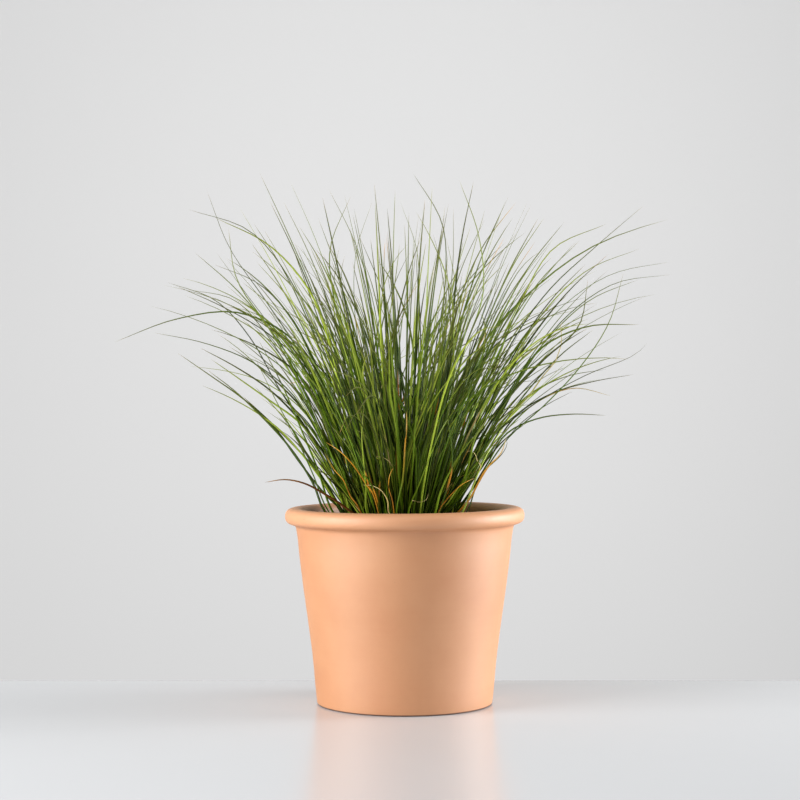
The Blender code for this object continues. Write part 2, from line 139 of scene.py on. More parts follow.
class Graph:
    """The node tree of one finish."""

    def __init__(self, name: str) -> None:
        """Starts the material of this name, with one Principled shader."""
        self.material = bpy.data.materials.new(name)
        self.material.use_nodes = True
        self.tree = self.material.node_tree
        self.shader = self.tree.nodes["Principled BSDF"]

    def add(
        self, kind: str, settings: Mapping[str, Any] | None = None, sockets: Mapping[Any, Any] | None = None
    ) -> bpy.types.Node:
        """Adds a node.

        Args:
            kind: the node's type.
            settings: what is set on the node first. "stops" sets a ramp's (place, colour) pairs.
            sockets: for each input, by name or place, its value or the socket or number that feeds it.

        Returns:
            The node.
        """
        node = self.tree.nodes.new(kind)
        for name, value in (settings or {}).items():
            if name == "stops":
                self._set_stops(node.color_ramp, value)
            else:
                setattr(node, name, value)
        for name, value in (sockets or {}).items():
            self.feed(node.inputs[name], value)
        return node

    def _set_stops(self, ramp: bpy.types.ColorRamp, stops: Stops) -> None:
        """Gives a new ramp, which has two stops, its (place, colour) pairs in rising order."""
        for place, _ in stops[2:]:
            ramp.elements.new(place)
        for element, (place, colour) in zip(ramp.elements, stops):
            element.position = place
            element.color = (*colour, 1)

    def feed(self, socket: Socket, value: Any) -> None:
        """Gives an input a plain value, a colour of three, or a link to a socket or a Number."""
        if isinstance(value, Number):
            value = value.socket
        if isinstance(value, Socket):
            self.tree.links.new(value, socket)
        elif socket.type == "RGBA":
            socket.default_value = (*value, 1)
        else:
            socket.default_value = value

    def finish(self, **inputs: Any) -> Material:
        """The material, with the Principled shader's inputs fed by name, and _ for each space."""
        for name, value in inputs.items():
            self.feed(self.shader.inputs[name.replace("_", " ")], value)
        return self.material

    def places(self, stretch: Point = (1, 1, 1)) -> Socket:
        """The place on the object in metres, each axis multiplied to draw a pattern out."""
        place = self.add("ShaderNodeTexCoord").outputs["Object"]
        return self.vector("MULTIPLY", place, stretch).outputs[0]

    def vector(self, operation: str, first: Any, second: Any = (0, 0, 0)) -> bpy.types.Node:
        """A Vector Math node that is fed by two vectors."""
        return self.add("ShaderNodeVectorMath", {"operation": operation}, {0: first, 1: second})

    def own(self, name: str) -> Number:
        """The value that each vertex carries under this name."""
        return Number(self, self.add("ShaderNodeAttribute", {"attribute_name": name}).outputs["Fac"])

    def height(self) -> Number:
        """The height above the table, in metres."""
        split = self.add("ShaderNodeSeparateXYZ", {}, {0: self.places()})
        return Number(self, split.outputs["Z"])

    def from_point(self, point: Point, stretch: Point) -> Number:
        """The distance from a point, in metres. Each axis is multiplied first, by 0 if it doesn't count."""
        away = self.vector("SUBTRACT", self.places(stretch), point)
        return Number(self, self.vector("LENGTH", away.outputs[0]).outputs["Value"])

    def cloud(self, size: float, detail: float, stretch: Point = (1, 1, 1)) -> Number:
        """Soft noise round 0.5, with blots of this size in metres and so many finer layers."""
        sockets = {"Vector": self.places(stretch), "Scale": 1 / size, "Detail": detail}
        return Number(self, self.add("ShaderNodeTexNoise", {}, sockets).outputs["Fac"])

    def specks(self, size: float, radius: float) -> Number:
        """A mask of round specks, this far apart in metres, each one's radius a share of that."""
        node = self.add("ShaderNodeTexVoronoi", {}, {"Vector": self.places(), "Scale": 1 / size})
        return Number(self, node.outputs["Distance"]).rise(radius, radius * 0.5)

    def blend(self, share: Operand, under: Any, over: Any) -> Socket:
        """The colour of one colour laid over another, by how much of the upper one shows."""
        sockets = {0: share, MIX_UNDER: under, MIX_OVER: over}
        return self.add("ShaderNodeMix", {"data_type": "RGBA"}, sockets).outputs[MIX_COLOUR]

    def ramp(self, value: Operand, stops: Stops) -> Socket:
        """The colour that a ramp with these stops has at a value from 0 to 1."""
        return self.add("ShaderNodeValToRGB", {"stops": stops}, {0: value}).outputs["Color"]

    def bump(self, height: Number, distance: float, strength: float) -> Socket:
        """A normal that is roughened by a height, where 1 stands out by the distance in metres."""
        sockets = {"Height": height, "Distance": distance, "Strength": strength}
        return self.add("ShaderNodeBump", {}, sockets).outputs["Normal"]


@dataclass(frozen=True)
class FiredClay:
    """Unglazed terracotta: matte and pale orange, faintly clouded, with turning lines and a few pits, and
    painted light and shade: a paler roll, darker pits, a darker inside and a dark line at the foot.
    """

    clay: Colour = (0.532, 0.241, 0.107)
    pale: Colour = (0.559, 0.266, 0.124)
    red: Colour = (0.504, 0.216, 0.092)
    # rim: painted light, the roll paler as if lit from above
    rim: Colour = (0.62, 0.295, 0.143)
    # painted shade on the inside of the wall
    inside_shade: Colour = (0.21, 0.083, 0.040)
    # painted shadow along the foot, where the pot meets the table
    foot_shadow: Colour = (0.10, 0.04, 0.022)
    # painted shade in the pits
    pit_shade: Colour = (0.20, 0.08, 0.04)
    roughness: float = 0.58
    pitted: Pair = (20 * MM, 14 * MM)
    lit_roll_span: Pair = (19 * MM, 15 * MM)
    inside_shaded: Pair = (3 * MM, 14 * MM)
    foot_shadowed: Pair = (1.9 * MM, 0.9 * MM)
    grain_size: float = 0.9 * MM
    grain_depth: float = 0.25 * MM

    def make(self, inside_radius: float, slope: float, rim_height: float) -> Material:
        """Makes the material.

        Args:
            inside_radius: how wide the inside would be at the table.
            slope: how much wider the inside gets for each metre of height.
            rim_height: the height of the rim, where handling has left small pits.

        Returns:
            The material.
        """
        graph = Graph("terracotta")
        clouds = graph.cloud(80 * MM, 4)
        fine = graph.cloud(6 * MM, 4)
        lines = graph.cloud(60 * MM, 3, (0.25, 0.25, 22))
        mottle = clouds * 0.8 + fine * 0.14 + lines * 0.06
        colour = graph.ramp(mottle, ((0.34, self.red), (0.5, self.clay), (0.68, self.pale)))
        height = graph.height()

        def below_rim(start: float, end: float) -> Number:
            """A mask that goes from 0 to 1 between two depths under the rim's top."""
            return height.rise(rim_height - start, rim_height - end)

        pits = graph.specks(13 * MM, 0.07) * graph.cloud(30 * MM, 1).rise(0.52, 0.6)
        pits = pits * (0.2 + 0.8 * below_rim(*self.pitted))
        # painted light: the top 15 mm, the roll, is paler, as if lit from above
        colour = graph.blend(below_rim(*self.lit_roll_span) * 0.7, colour, self.rim)
        # painted shade: the pits are darker
        colour = graph.blend(pits * 0.8, colour, self.pit_shade)
        outward = graph.from_point((0, 0, 0), (1, 1, 0)) - slope * height
        inner = outward.rise(inside_radius + 3 * MM, inside_radius + 1 * MM)
        # painted shade: the inside of the wall darkens from 3 mm to 14 mm under the rim's top
        colour = graph.blend(inner * below_rim(*self.inside_shaded) * (0.65 + 0.3 * fine), colour, self.inside_shade)
        # painted shadow: a dark line on the lowest 2 mm of the foot
        colour = graph.blend(height.rise(*self.foot_shadowed) * 0.9, colour, self.foot_shadow)
        grain = graph.cloud(self.grain_size, 2)
        relief = grain * 0.3 + lines * 0.2 + fine * 0.25 - pits
        return graph.finish(
            Base_Color=colour,
            Roughness=self.roughness - 0.08 + 0.16 * fine,
            Normal=graph.bump(relief, self.grain_depth, 0.5),
            Specular_IOR_Level=0.9,
        )


@dataclass(frozen=True)
class Compost:
    """Damp potting compost: nearly black, with paler bark and fibre."""

    dark: Colour = (0.018, 0.011, 0.007)
    brown: Colour = (0.060, 0.034, 0.019)
    bark: Colour = (0.17, 0.085, 0.040)
    fibre: Colour = (0.34, 0.22, 0.12)

    def make(self) -> Material:
        """Makes the material, which reads how pale each crumb is from its vertices."""
        graph = Graph("compost")
        crumb = graph.own("tone")
        mottle = graph.cloud(4 * MM, 5)
        stops = ((0.1, self.dark), (0.45, self.brown), (0.8, self.bark), (1.0, self.fibre))
        colour = graph.ramp(crumb * 0.75 + mottle * 0.3, stops)
        return graph.finish(
            Base_Color=colour,
            Roughness=0.78 + 0.2 * mottle,
            Normal=graph.bump(graph.cloud(1.6 * MM, 4), 1.2 * MM, 0.8),
        )


@dataclass(frozen=True)
class GrassLeaf:
    """Leaf green, with a paler midrib that is partly a painted highlight, olive tips, straw where a leaf has
    dried, and painted shade towards its foot.
    """

    shade: Colour = (0.004, 0.008, 0.0002)
    deep: Colour = (0.0160, 0.0415, 0.0006)
    green: Colour = (0.087, 0.168, 0.003)
    fresh: Colour = (0.41, 0.51, 0.055)
    tip: Colour = (0.14, 0.135, 0.030)
    # root: the sheath's brown at a leaf's foot, darkened with painted shade
    root: Colour = (0.055, 0.045, 0.007)
    rust: Colour = (0.16, 0.055, 0.008)
    amber: Colour = (0.58, 0.26, 0.012)
    straw: Colour = (0.58, 0.47, 0.20)

    def make(self) -> Material:
        """Makes the material. Each vertex carries tone, along, across and dry."""
        graph = Graph("grass leaf")
        tone, along, across, dry = (graph.own(name) for name in ("tone", "along", "across", "dry"))
        fibres = graph.cloud(5 * MM, 3, (6, 6, 0.35))
        greens = ((0.0, self.shade), (0.28, self.deep), (0.6, self.green), (1.0, self.fresh))
        # painted shade: each leaf is darker towards its foot, low in the clump, and paler towards its tip
        colour = graph.ramp(tone * 0.85 + along * 0.24 + fibres * 0.16 - 0.15, greens)
        # a paler line along the keel and the groove: partly a paler midrib, partly a painted highlight
        midrib_and_highlight = abs(across).rise(0.34, 0.08)
        colour = graph.blend(midrib_and_highlight * 0.22, colour, self.fresh)
        colour = graph.blend(along.rise(0.55, 1.0) * 0.75, colour, self.tip)
        # the foot of a leaf turns dark brown: partly its sheath's colour, partly painted shade low in the
        # clump
        colour = graph.blend(along.rise(0.14, 0.0) * 0.75, colour, self.root)
        dried = ((0.15, self.rust), (0.5, self.amber), (0.85, self.straw))
        blots = graph.cloud(16 * MM, 2)
        faded = tone * 0.7 + along.rise(0.6, 1.0) * 0.3 + fibres * 0.4 + blots * 0.6 - 0.38
        straw = graph.ramp(faded, dried)
        colour = graph.blend((dry + (fibres - 0.5) * 0.5 * dry).rise(0.08, 0.72), colour, straw)
        return graph.finish(
            Base_Color=colour,
            Roughness=0.30 + 0.42 * dry + 0.1 * fibres,
            Specular_IOR_Level=0.2,
        )


@dataclass(frozen=True)
class PaintedTable:
    """A glossy pale tabletop."""

    paint: Colour = (0.56, 0.572, 0.59)
    roughness: float = 0.24

    def make(self) -> Material:
        """Makes the material, whose gloss is a little uneven."""
        graph = Graph("painted table")
        wiped = graph.cloud(180 * MM, 2)
        return graph.finish(Base_Color=self.paint, Roughness=self.roughness - 0.03 + 0.06 * wiped)


@dataclass(frozen=True)
class PaperBackdrop:
    """A pale paper roll far behind, lit most behind the grass and a little less towards its corners."""

    paper: Colour = (0.5, 0.5, 0.5)
    lit: Colour = (1.0, 1.0, 1.0)
    dim: Colour = (0.845, 0.845, 0.845)
    glow: float = 0.492
    lit_middle: Point = (0.2, 0.0, 0.9)
    lit_reach: Pair = (0.2, 2.0)

    def make(self) -> Material:
        """Makes the material, whose glow stands for the lamps on the roll."""
        graph = Graph("paper backdrop")
        away = graph.from_point(self.lit_middle, (1, 0, 1))
        light = graph.blend(away.rise(*self.lit_reach), self.lit, self.dim)
        return graph.finish(
            Base_Color=self.paper, Roughness=0.9, Emission_Color=light, Emission_Strength=self.glow
        )


@dataclass
class Sheet:
    """Vertices, faces and what they carry, gathered until they become one object."""

    verts: list[np.ndarray] = field(default_factory=list)
    faces: list[Face] = field(default_factory=list)
    values: dict[str, list[np.ndarray]] = field(default_factory=dict)
    corners: list[np.ndarray] = field(default_factory=list)
    count: int = 0

    def extend(
        self,
        verts: np.ndarray,
        faces: Iterable[Face],
        values: Mapping[str, np.ndarray] | None = None,
        corners: np.ndarray | None = None,
    ) -> None:
        """Adds one shape.

        Args:
            verts: its vertices, one a row.
            faces: its faces, counted from its own first vertex.
            values: for each name, a value a vertex.
            corners: where each face corner lies on the bake's map, one a row.
        """
        self.verts.append(verts)
        self.faces += [tuple(i + self.count for i in face) for face in faces]
        for name, value in (values or {}).items():
            self.values.setdefault(name, []).append(value)
        if corners is not None:
            self.corners.append(corners)
        self.count += len(verts)

    def build(self, name: str, material: Material, sharp: float = 40) -> Piece:
        """Makes the object.

        Args:
            name: its name.
            material: its finish.
            sharp: edges sharper than this, in degrees, stay sharp.

        Returns:
            The object, linked to the scene.
        """
        mesh = bpy.data.meshes.new(name)
        mesh.from_pydata(np.concatenate(self.verts).tolist(), [], self.faces)
        for key, parts in self.values.items():
            layer = mesh.attributes.new(key, "FLOAT", "POINT")
            layer.data.foreach_set("value", np.concatenate(parts).astype(np.float32))
        if self.corners:
            layer = mesh.uv_layers.new(name="OFBake")
            layer.uv.foreach_set("vector", np.concatenate(self.corners).astype(np.float32).ravel())
        mesh.materials.append(material)
        mesh.shade_smooth()
        mesh.set_sharp_from_angle(angle=math.radians(sharp))
        obj = bpy.data.objects.new(name, mesh)
        bpy.context.scene.collection.objects.link(obj)
        return obj


def solid(name: str) -> Piece:
    """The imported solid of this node."""
    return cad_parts[name]


def arc(centre: Pair, reach: Pair, start: float, end: float, steps: int, squareness: float = 2) -> list[Pair]:
    """Points along a stretch of an ellipse in a section.

    Args:
        centre: its centre, as (distance from the axis, height).
        reach: how far it reaches from its centre, across and up.
        start: where it starts, in degrees.
        end: where it ends, in degrees.
        steps: how many steps it has.
        squareness: 2 for an ellipse, and more for a squarer form.

    Returns:
        The points, both ends included.
    """

    def swell(value: float) -> float:
        """Pushes a part of a unit direction outwards."""
        return math.copysign(abs(value) ** (2 / squareness), value)

    angles = [math.radians(start + (end - start) * i / steps) for i in range(steps + 1)]
    (x, y), (wide, high) = centre, reach
    return [(x + wide * swell(math.cos(a)), y + high * swell(math.sin(a))) for a in angles]


def band(below: int, above: int, sides: int) -> list[Face]:
    """The faces between two closed rings, each given by the number of its first vertex."""
    pairs = [(i, (i + 1) % sides) for i in range(sides)]
    return [(below + i, below + j, above + j, above + i) for i, j in pairs]


def turned(profile: np.ndarray, sides: int) -> tuple[np.ndarray, list[Face]]:
    """Turns a closed section round the upright axis.

    Args:
        profile: its points, as rows of (distance from the axis, height).
        sides: how many sides the round has.

    Returns:
        The vertices and the faces.
    """
    angles = np.arange(sides) * math.tau / sides
    radius, height = profile[:, :1], profile[:, 1:]
    x, y = radius * np.cos(angles), radius * np.sin(angles)
    verts = np.stack([x, y, np.broadcast_to(height, x.shape)], axis=-1).reshape(-1, 3)
    rings = range(0, len(verts), sides)
    return verts, [face for ring in rings for face in band(ring, (ring + sides) % len(verts), sides)]


@dataclass
class ClayPot:
    """The turned pot: a flat foot, a slightly hollow wall, a collar, a rolled rim and a drain hole."""

    finish: FiredClay = FiredClay()
    sides: int = 240
    foot_radius: float = 87.3 * MM
    foot_rounding: float = 2 * MM
    wall_bends: tuple[Pair, ...] = ((2, 87.5), (22, 89.4), (45, 91.5), (72, 94.9), (100, 98.8))
    wall_top: tuple[Pair, ...] = ((122, 101.8), (145, 104.6), (163, 106.4))
    collar: tuple[Pair, ...] = ((166, 106.8), (169, 107.25), (172, 107.75), (175, 108.3), (177, 109))
    roll_reach: Pair = (10 * MM, 8.2 * MM)
    roll_squareness: float = 2.4
    roll_centre: Pair = (109.2 * MM, 186.8 * MM)
    inside_foot_radius: float = 78.75 * MM
    inside_top: Pair = (99 * MM, 176 * MM)
    floor: float = 12 * MM
    fillet: float = 6 * MM
    drain_radius: float = 13 * MM
    drain_chamfer: float = 1.5 * MM
    ripple: float = 0.12 * MM
    ripple_scale: Pair = (9, 130)
    rim_lean: float = 0.006
    wall_rows: int = 44

    def inside_radius(self, height: float) -> float:
        """The inside of the wall at a height."""
        radius, top = self.inside_top
        return self.inside_foot_radius + (radius - self.inside_foot_radius) * height / top

    def section(self) -> np.ndarray:
        """The closed section from the foot over the roll to the drain, as rows of (radius, height)."""
        rounding, fillet, drain = self.foot_rounding, self.fillet, self.drain_radius
        fillet_top = self.floor + fillet
        outside = arc((self.foot_radius - rounding, rounding), (rounding, rounding), -90, 0, 5)
        bends = np.array([*self.wall_bends, *self.wall_top]) * MM
        wall = smooth_line(np.column_stack([bends[:, 1], bends[:, 0]]), self.wall_rows)
        collar = [(radius * MM, height * MM) for height, radius in self.collar]
        roll = arc(self.roll_centre, self.roll_reach, -80, 165, 40, self.roll_squareness)
        roll_foot = self.roll_centre[1] - self.roll_reach[1]
        inner = [(self.inside_radius(z), z) for z in np.linspace(roll_foot, fillet_top, 16)]
        corner = arc((inner[-1][0] - fillet, fillet_top), (fillet, fillet), 0, -90, 6)
        hole = [(drain, self.floor), (drain, self.drain_chamfer), (drain + self.drain_chamfer, 0)]
        return np.array([*outside, *wall[1:], *collar, *roll, *inner, *corner[1:], *hole])

    def build(self) -> Piece:
        """Builds the pot in the place of its solid."""
        verts, faces = turned(self.section(), self.sides)
        rim = self.roll_centre[1] + self.roll_reach[1]
        level_scale, upright_scale = self.ripple_scale
        for vert in verts:
            if vert[2] > self.foot_rounding:
                level = math.hypot(vert[0], vert[1])
                place = Vector((vert[0] * level_scale, vert[1] * level_scale, vert[2] * upright_scale))
                vert[:2] *= 1 + self.ripple * noise.noise(place) / level
                vert[2] += self.rim_lean * vert[0] * vert[2] / rim
        sheet = Sheet()
        sheet.extend(verts, faces)
        radius, top = self.inside_top
        slope = (radius - self.inside_foot_radius) / top
        piece = sheet.build("clay_pot", self.finish.make(self.inside_foot_radius, slope, rim))
        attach(piece, BODY)
        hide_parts("pot")
        return piece


@dataclass
class PottingSoil:
    """The compost that fills the pot, with crumbs of bark and fibre lying on it."""

    finish: Compost = Compost()
    sides: int = 120
    rows: int = 30
    edge_gap: float = 0.2 * MM
    level_radius: float = 50 * MM
    lump: float = 1.6 * MM
    lump_scale: Pair = (55, 190)
    sunk: float = 0.8 * MM
    top_gap: float = 0.3 * MM
    crumbs: int = 900
    crumb_size: Pair = (1.2 * MM, 4.2 * MM)
    fibre_share: float = 0.16
    seed: int = 4

    def read_solid(self) -> None:
        """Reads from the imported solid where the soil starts, ends and meets the wall."""
        low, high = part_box("soil")
        self.bottom, self.top = low.z, high.z
        self.radius = high.x - self.edge_gap
        points = np.array([v.co[:] for v in solid("soil").data.vertices])
        level = np.hypot(points[:, 0], points[:, 1])
        self.floor_radius = float(level[points[:, 2] < self.bottom + 1 * MM].max())
        edge = points[level > self.radius - 1.5 * MM]
        self.edge_height = float(edge[:, 2].mean())

    def surface(self, x: float, y: float) -> float:
        """The height of the soil's surface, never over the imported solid's top."""
        outward = max(0.0, math.hypot(x, y) - self.level_radius) / (self.radius - self.level_radius)
        coarse, fine = (noise.noise(Vector((x, y, i)) * scale) for i, scale in enumerate(self.lump_scale))
        height = self.top - (self.top - self.edge_height) * outward
        return min(self.top - self.top_gap, height + self.lump * (coarse + 0.6 * fine) - self.sunk)

    def plug(self, sheet: Sheet) -> None:
        """Adds the body of the soil to a sheet."""
        radii = np.linspace(self.radius, 2 * MM, self.rows)
        angles = np.arange(self.sides) * math.tau / self.sides
        rings = [[(r * math.cos(a), r * math.sin(a)) for a in angles] for r in radii]
        foot, edge = self.floor_radius, self.radius
        verts = [(x * foot / edge, y * foot / edge, self.bottom) for x, y in rings[0]]
        verts += [(x, y, self.surface(x, y)) for ring in rings for x, y in ring]
        verts += [(0, 0, self.surface(0, 0)), (0, 0, self.bottom)]
        faces = []
        for row in range(self.rows):
            faces += band(row * self.sides, (row + 1) * self.sides, self.sides)
        last = self.rows * self.sides
        for i in range(self.sides):
            j = (i + 1) % self.sides
            faces += [(last + i, last + j, len(verts) - 2), (j, i, len(verts) - 1)]
        dice = random.Random(self.seed)
        tone = np.array([0.15 + 0.3 * dice.random() for _ in verts])
        sheet.extend(np.array(verts), faces, {"tone": tone})

    def crumb(self, sheet: Sheet, dice: random.Random) -> None:
        """Adds one crumb to a sheet: an uneven flake or a short fibre that lies on the soil."""
        far = (self.radius - 3 * MM) * math.sqrt(dice.random())
        angle = dice.uniform(0, math.tau)
        size = dice.uniform(*self.crumb_size)
        is_fibre = dice.random() < self.fibre_share
        if is_fibre:
            shape = (size * 2.6, size * 0.22, size * 0.22)
        else:
            shape = (size, size * dice.uniform(0.5, 0.9), size * 0.45)
        x, y = far * math.cos(angle), far * math.sin(angle)
        turn = dice.uniform(0, math.tau)
        along = Vector((math.cos(turn), math.sin(turn), dice.uniform(-0.3, 0.3)))
        across = Vector((-along.y, along.x, dice.uniform(-0.25, 0.25)))
        up = along.cross(across).normalized()
        centre = Vector((x, y, self.surface(x, y) + shape[2] * 0.2))
        verts = []
        for a, b, c in ((-1, 0, 0), (0, -1, 0), (0, 0, -1), (1, 0, 0), (0, 1, 0), (0, 0, 1)):
            wild = dice.uniform(0.7, 1.15) / 2
            verts.append(centre + wild * (along * a * shape[0] + across * b * shape[1] + up * c * shape[2]))
        faces = [(5, 0, 1), (5, 1, 3), (5, 3, 4), (5, 4, 0), (2, 1, 0), (2, 3, 1), (2, 4, 3), (2, 0, 4)]
        pale = dice.uniform(0.7, 1.0) if is_fibre else dice.random() ** 2
        reach = max(math.hypot(v.x, v.y) for v in verts)
        if reach < self.radius - 0.5 * MM:
            sheet.extend(np.array([v[:] for v in verts]), faces, {"tone": np.full(len(verts), pale)})

    def build(self) -> Piece:
        """Builds the soil in the place of its solid."""
        self.read_solid()
        sheet = Sheet()
        self.plug(sheet)
        dice = random.Random(self.seed)
        for _ in range(self.crumbs):
            self.crumb(sheet, dice)
        piece = sheet.build("potting_soil", self.finish.make(), sharp=30)
        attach(piece, BODY)
        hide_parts("soil")
        return piece


def smooth_line(knots: Sequence[np.ndarray], count: int) -> np.ndarray:
    """A smooth line through points.

    Args:
        knots: the points.
        count: how many points the line gets, at equal distances.

    Returns:
        The line, one point a row.
    """
    knots = np.asarray(knots, dtype=float)
    padded = np.vstack([2 * knots[0] - knots[1], knots, 2 * knots[-1] - knots[-2]])
    share = np.linspace(0, 1, 12, endpoint=False)[:, None]
    pieces = []
    for a, b, c, d in zip(padded, padded[1:], padded[2:], padded[3:]):
        bent = (2 * a - 5 * b + 4 * c - d) * share**2 + (3 * b - a - 3 * c + d) * share**3
        pieces.append((2 * b + (c - a) * share + bent) / 2)
    return evened(np.vstack([*pieces, knots[-1:]]), count)


def evened(line: np.ndarray, count: int, share: float = 1) -> np.ndarray:
    """A line with so many points at equal distances, over a share of its length from its start."""
    gone = np.concatenate([[0], np.cumsum(np.linalg.norm(np.diff(line, axis=0), axis=1))])
    wanted = np.linspace(0, gone[-1] * share, count)
    return np.column_stack([np.interp(wanted, gone, values) for values in line.T])


class Age(Enum):
    """How a leaf has aged."""

    FRESH = "fresh"
    GROWN = "grown"
    TIPPED = "brown at its tip"
    SCORCHED = "brown along one stretch"
    DRY = "dry all along"


@dataclass(frozen=True)
class Leaf:
    """One leaf: a line with a channelled, tapering blade round it."""

    line: np.ndarray
    width: float
    age: Age
    tone: float
    roll: float
    twist: float
    dry_from: float

    def widths(self) -> np.ndarray:
        """How wide the blade is along its line: it swells at its foot, narrows and closes at its tip."""
        share = np.linspace(0, 1, len(self.line))
        swelling = 0.8 + 0.2 * np.clip(share / 0.1, 0, 1)
        return self.width * swelling * (1 - 0.45 * share) * (1 - share**6) ** 0.8 + TIP_WIDTH

    def dryness(self) -> np.ndarray:
        """How dry the blade is along its line, from 0 to 1: all over, at its end or in one stretch."""
        share = np.linspace(0, 1, len(self.line))
        if self.age is Age.DRY:
            return np.full(len(share), 0.95)
        if self.age is Age.TIPPED:
            return np.clip((share - self.dry_from) / (1.02 - self.dry_from), 0, 1) ** 1.2
        if self.age is Age.SCORCHED:
            return np.clip(1.3 - np.abs(share - self.dry_from) / 0.06, 0, 1)
        return np.clip((share - 0.93) / 0.07, 0, 1) * 0.4

    def sides(self) -> tuple[np.ndarray, np.ndarray]:
        """The two directions, one a row each, of the blade's breadth and its upper face along its line."""
        onward = np.gradient(self.line, axis=0)
        onward /= np.linalg.norm(onward, axis=1)[:, None]
        current = np.array([math.cos(self.roll), math.sin(self.roll), 0.0])
        breadth = []
        for step in onward:
            current = current - step * np.dot(current, step)
            current = current / np.linalg.norm(current)
            breadth.append(current)
        breadth = np.array(breadth)
        face = np.cross(onward, breadth)
        turn = np.linspace(0, self.twist, len(self.line))[:, None]
        return breadth * np.cos(turn) + face * np.sin(turn), face * np.cos(turn) - breadth * np.sin(turn)

    def add_to(self, sheet: Sheet, strip: Pair) -> None:
        """Adds the blade to a tuft.

        Args:
            sheet: what it is added to.
            strip: where its strip of the bake's map starts and ends.
        """
        breadth, face = self.sides()
        width = self.widths()[:, None]
        left = self.line - breadth * width / 2 + face * width * EDGE_RISE
        right = self.line + breadth * width / 2 + face * width * EDGE_RISE
        keel = self.line - face * width * KEEL_DEPTH
        groove = self.line + face * width * GROOVE_RISE
        rings = np.stack([left, keel, right, groove], axis=1)[:-1]
        verts = np.vstack([rings.reshape(-1, 3), self.line[-1:]])
        count = len(rings)
        tip = RING * count
        low, high = strip
        cuts = [low + (high - low) * i / RING for i in range(RING + 1)]
        levels = np.linspace(0.01, 0.99, count + 1)
        faces: list[Face] = [(3, 2, 1, 0)]
        corners = [(cuts[i], 0.004 * (i % 2)) for i in (3, 2, 1, 0)]
        for row in range(count - 1):
            faces += band(RING * row, RING * (row + 1), RING)
            lower, upper = levels[row], levels[row + 1]
            for start, end in zip(cuts, cuts[1:]):
                corners += [(start, lower), (end, lower), (end, upper), (start, upper)]
        for i in range(RING):
            start, end = cuts[i], cuts[i + 1]
            faces.append((tip - RING + i, tip - RING + (i + 1) % RING, tip))
            corners += [(start, levels[-2]), (end, levels[-2]), ((start + end) / 2, levels[-1])]
        dryness = self.dryness()
        values = {
            "along": np.append(np.repeat(np.linspace(0, 1, count + 1)[:-1], RING), 1),
            "dry": np.append(np.repeat(dryness[:-1], RING), dryness[-1]),
            "across": np.append(np.tile([-1.0, 0.0, 1.0, 0.0], count), 0),
            "tone": np.full(len(verts), self.tone),
        }
        sheet.extend(verts, faces, values, np.array(corners))


class PackedShoot:
    """A shoot as it was packed, from which the lines of its leaves are read."""

    def __init__(self, name: str) -> None:
        """Reads the solid of this node."""
        mesh = solid(name).data
        index: dict[tuple, int] = {}
        places = []
        merged = []
        for vert in mesh.vertices:
            key = tuple(round(value * 1e6) for value in vert.co)
            if key not in index:
                index[key] = len(places)
                places.append(vert.co[:])
            merged.append(index[key])
        self.places = np.array(places)
        self.beside: list[set[int]] = [set() for _ in places]
        for edge in mesh.edges:
            a, b = (merged[i] for i in edge.vertices)
            if a != b:
                self.beside[a].add(b)
                self.beside[b].add(a)
        self.foot = self.places[self.places[:, 2] < self.places[:, 2].min() + 1 * MM].mean(axis=0)

    def lines(self, sheath: float) -> list[np.ndarray]:
        """The middle line of each leaf, from the top of the sheath to the tip, the lowest tip first."""
        top = self.foot[2] + sheath + 0.5 * MM
        tips = [i for i, near in enumerate(self.beside) if len(near) == 3 and self.places[i][2] > top]
        found = []
        for tip in tips:
            rings, seen, ring = [self.places[tip]], {tip}, {tip}
            while self.places[list(ring), 2].min() > top:
                ring = set().union(*(self.beside[i] for i in ring)) - seen
                seen |= ring
                rings.append(self.places[list(ring)].mean(axis=0))
            found.append(np.array(rings[::-1]))
        return sorted(found, key=lambda line: line[-1][2])


@dataclass(frozen=True)
class SeenLeaf:
    """A leaf that stands out in the photo.

    Its points are (x, z) in millimetres where they lie on the upright plane through the pot's axis. The leaf
    itself stands nearer, at the front of the clump, on the lines of sight to those points.
    """

    age: Age
    tone: float
    width: float
    points: tuple[Pair, ...]
    foot_seen: bool = True
    dry_from: float = 0.4


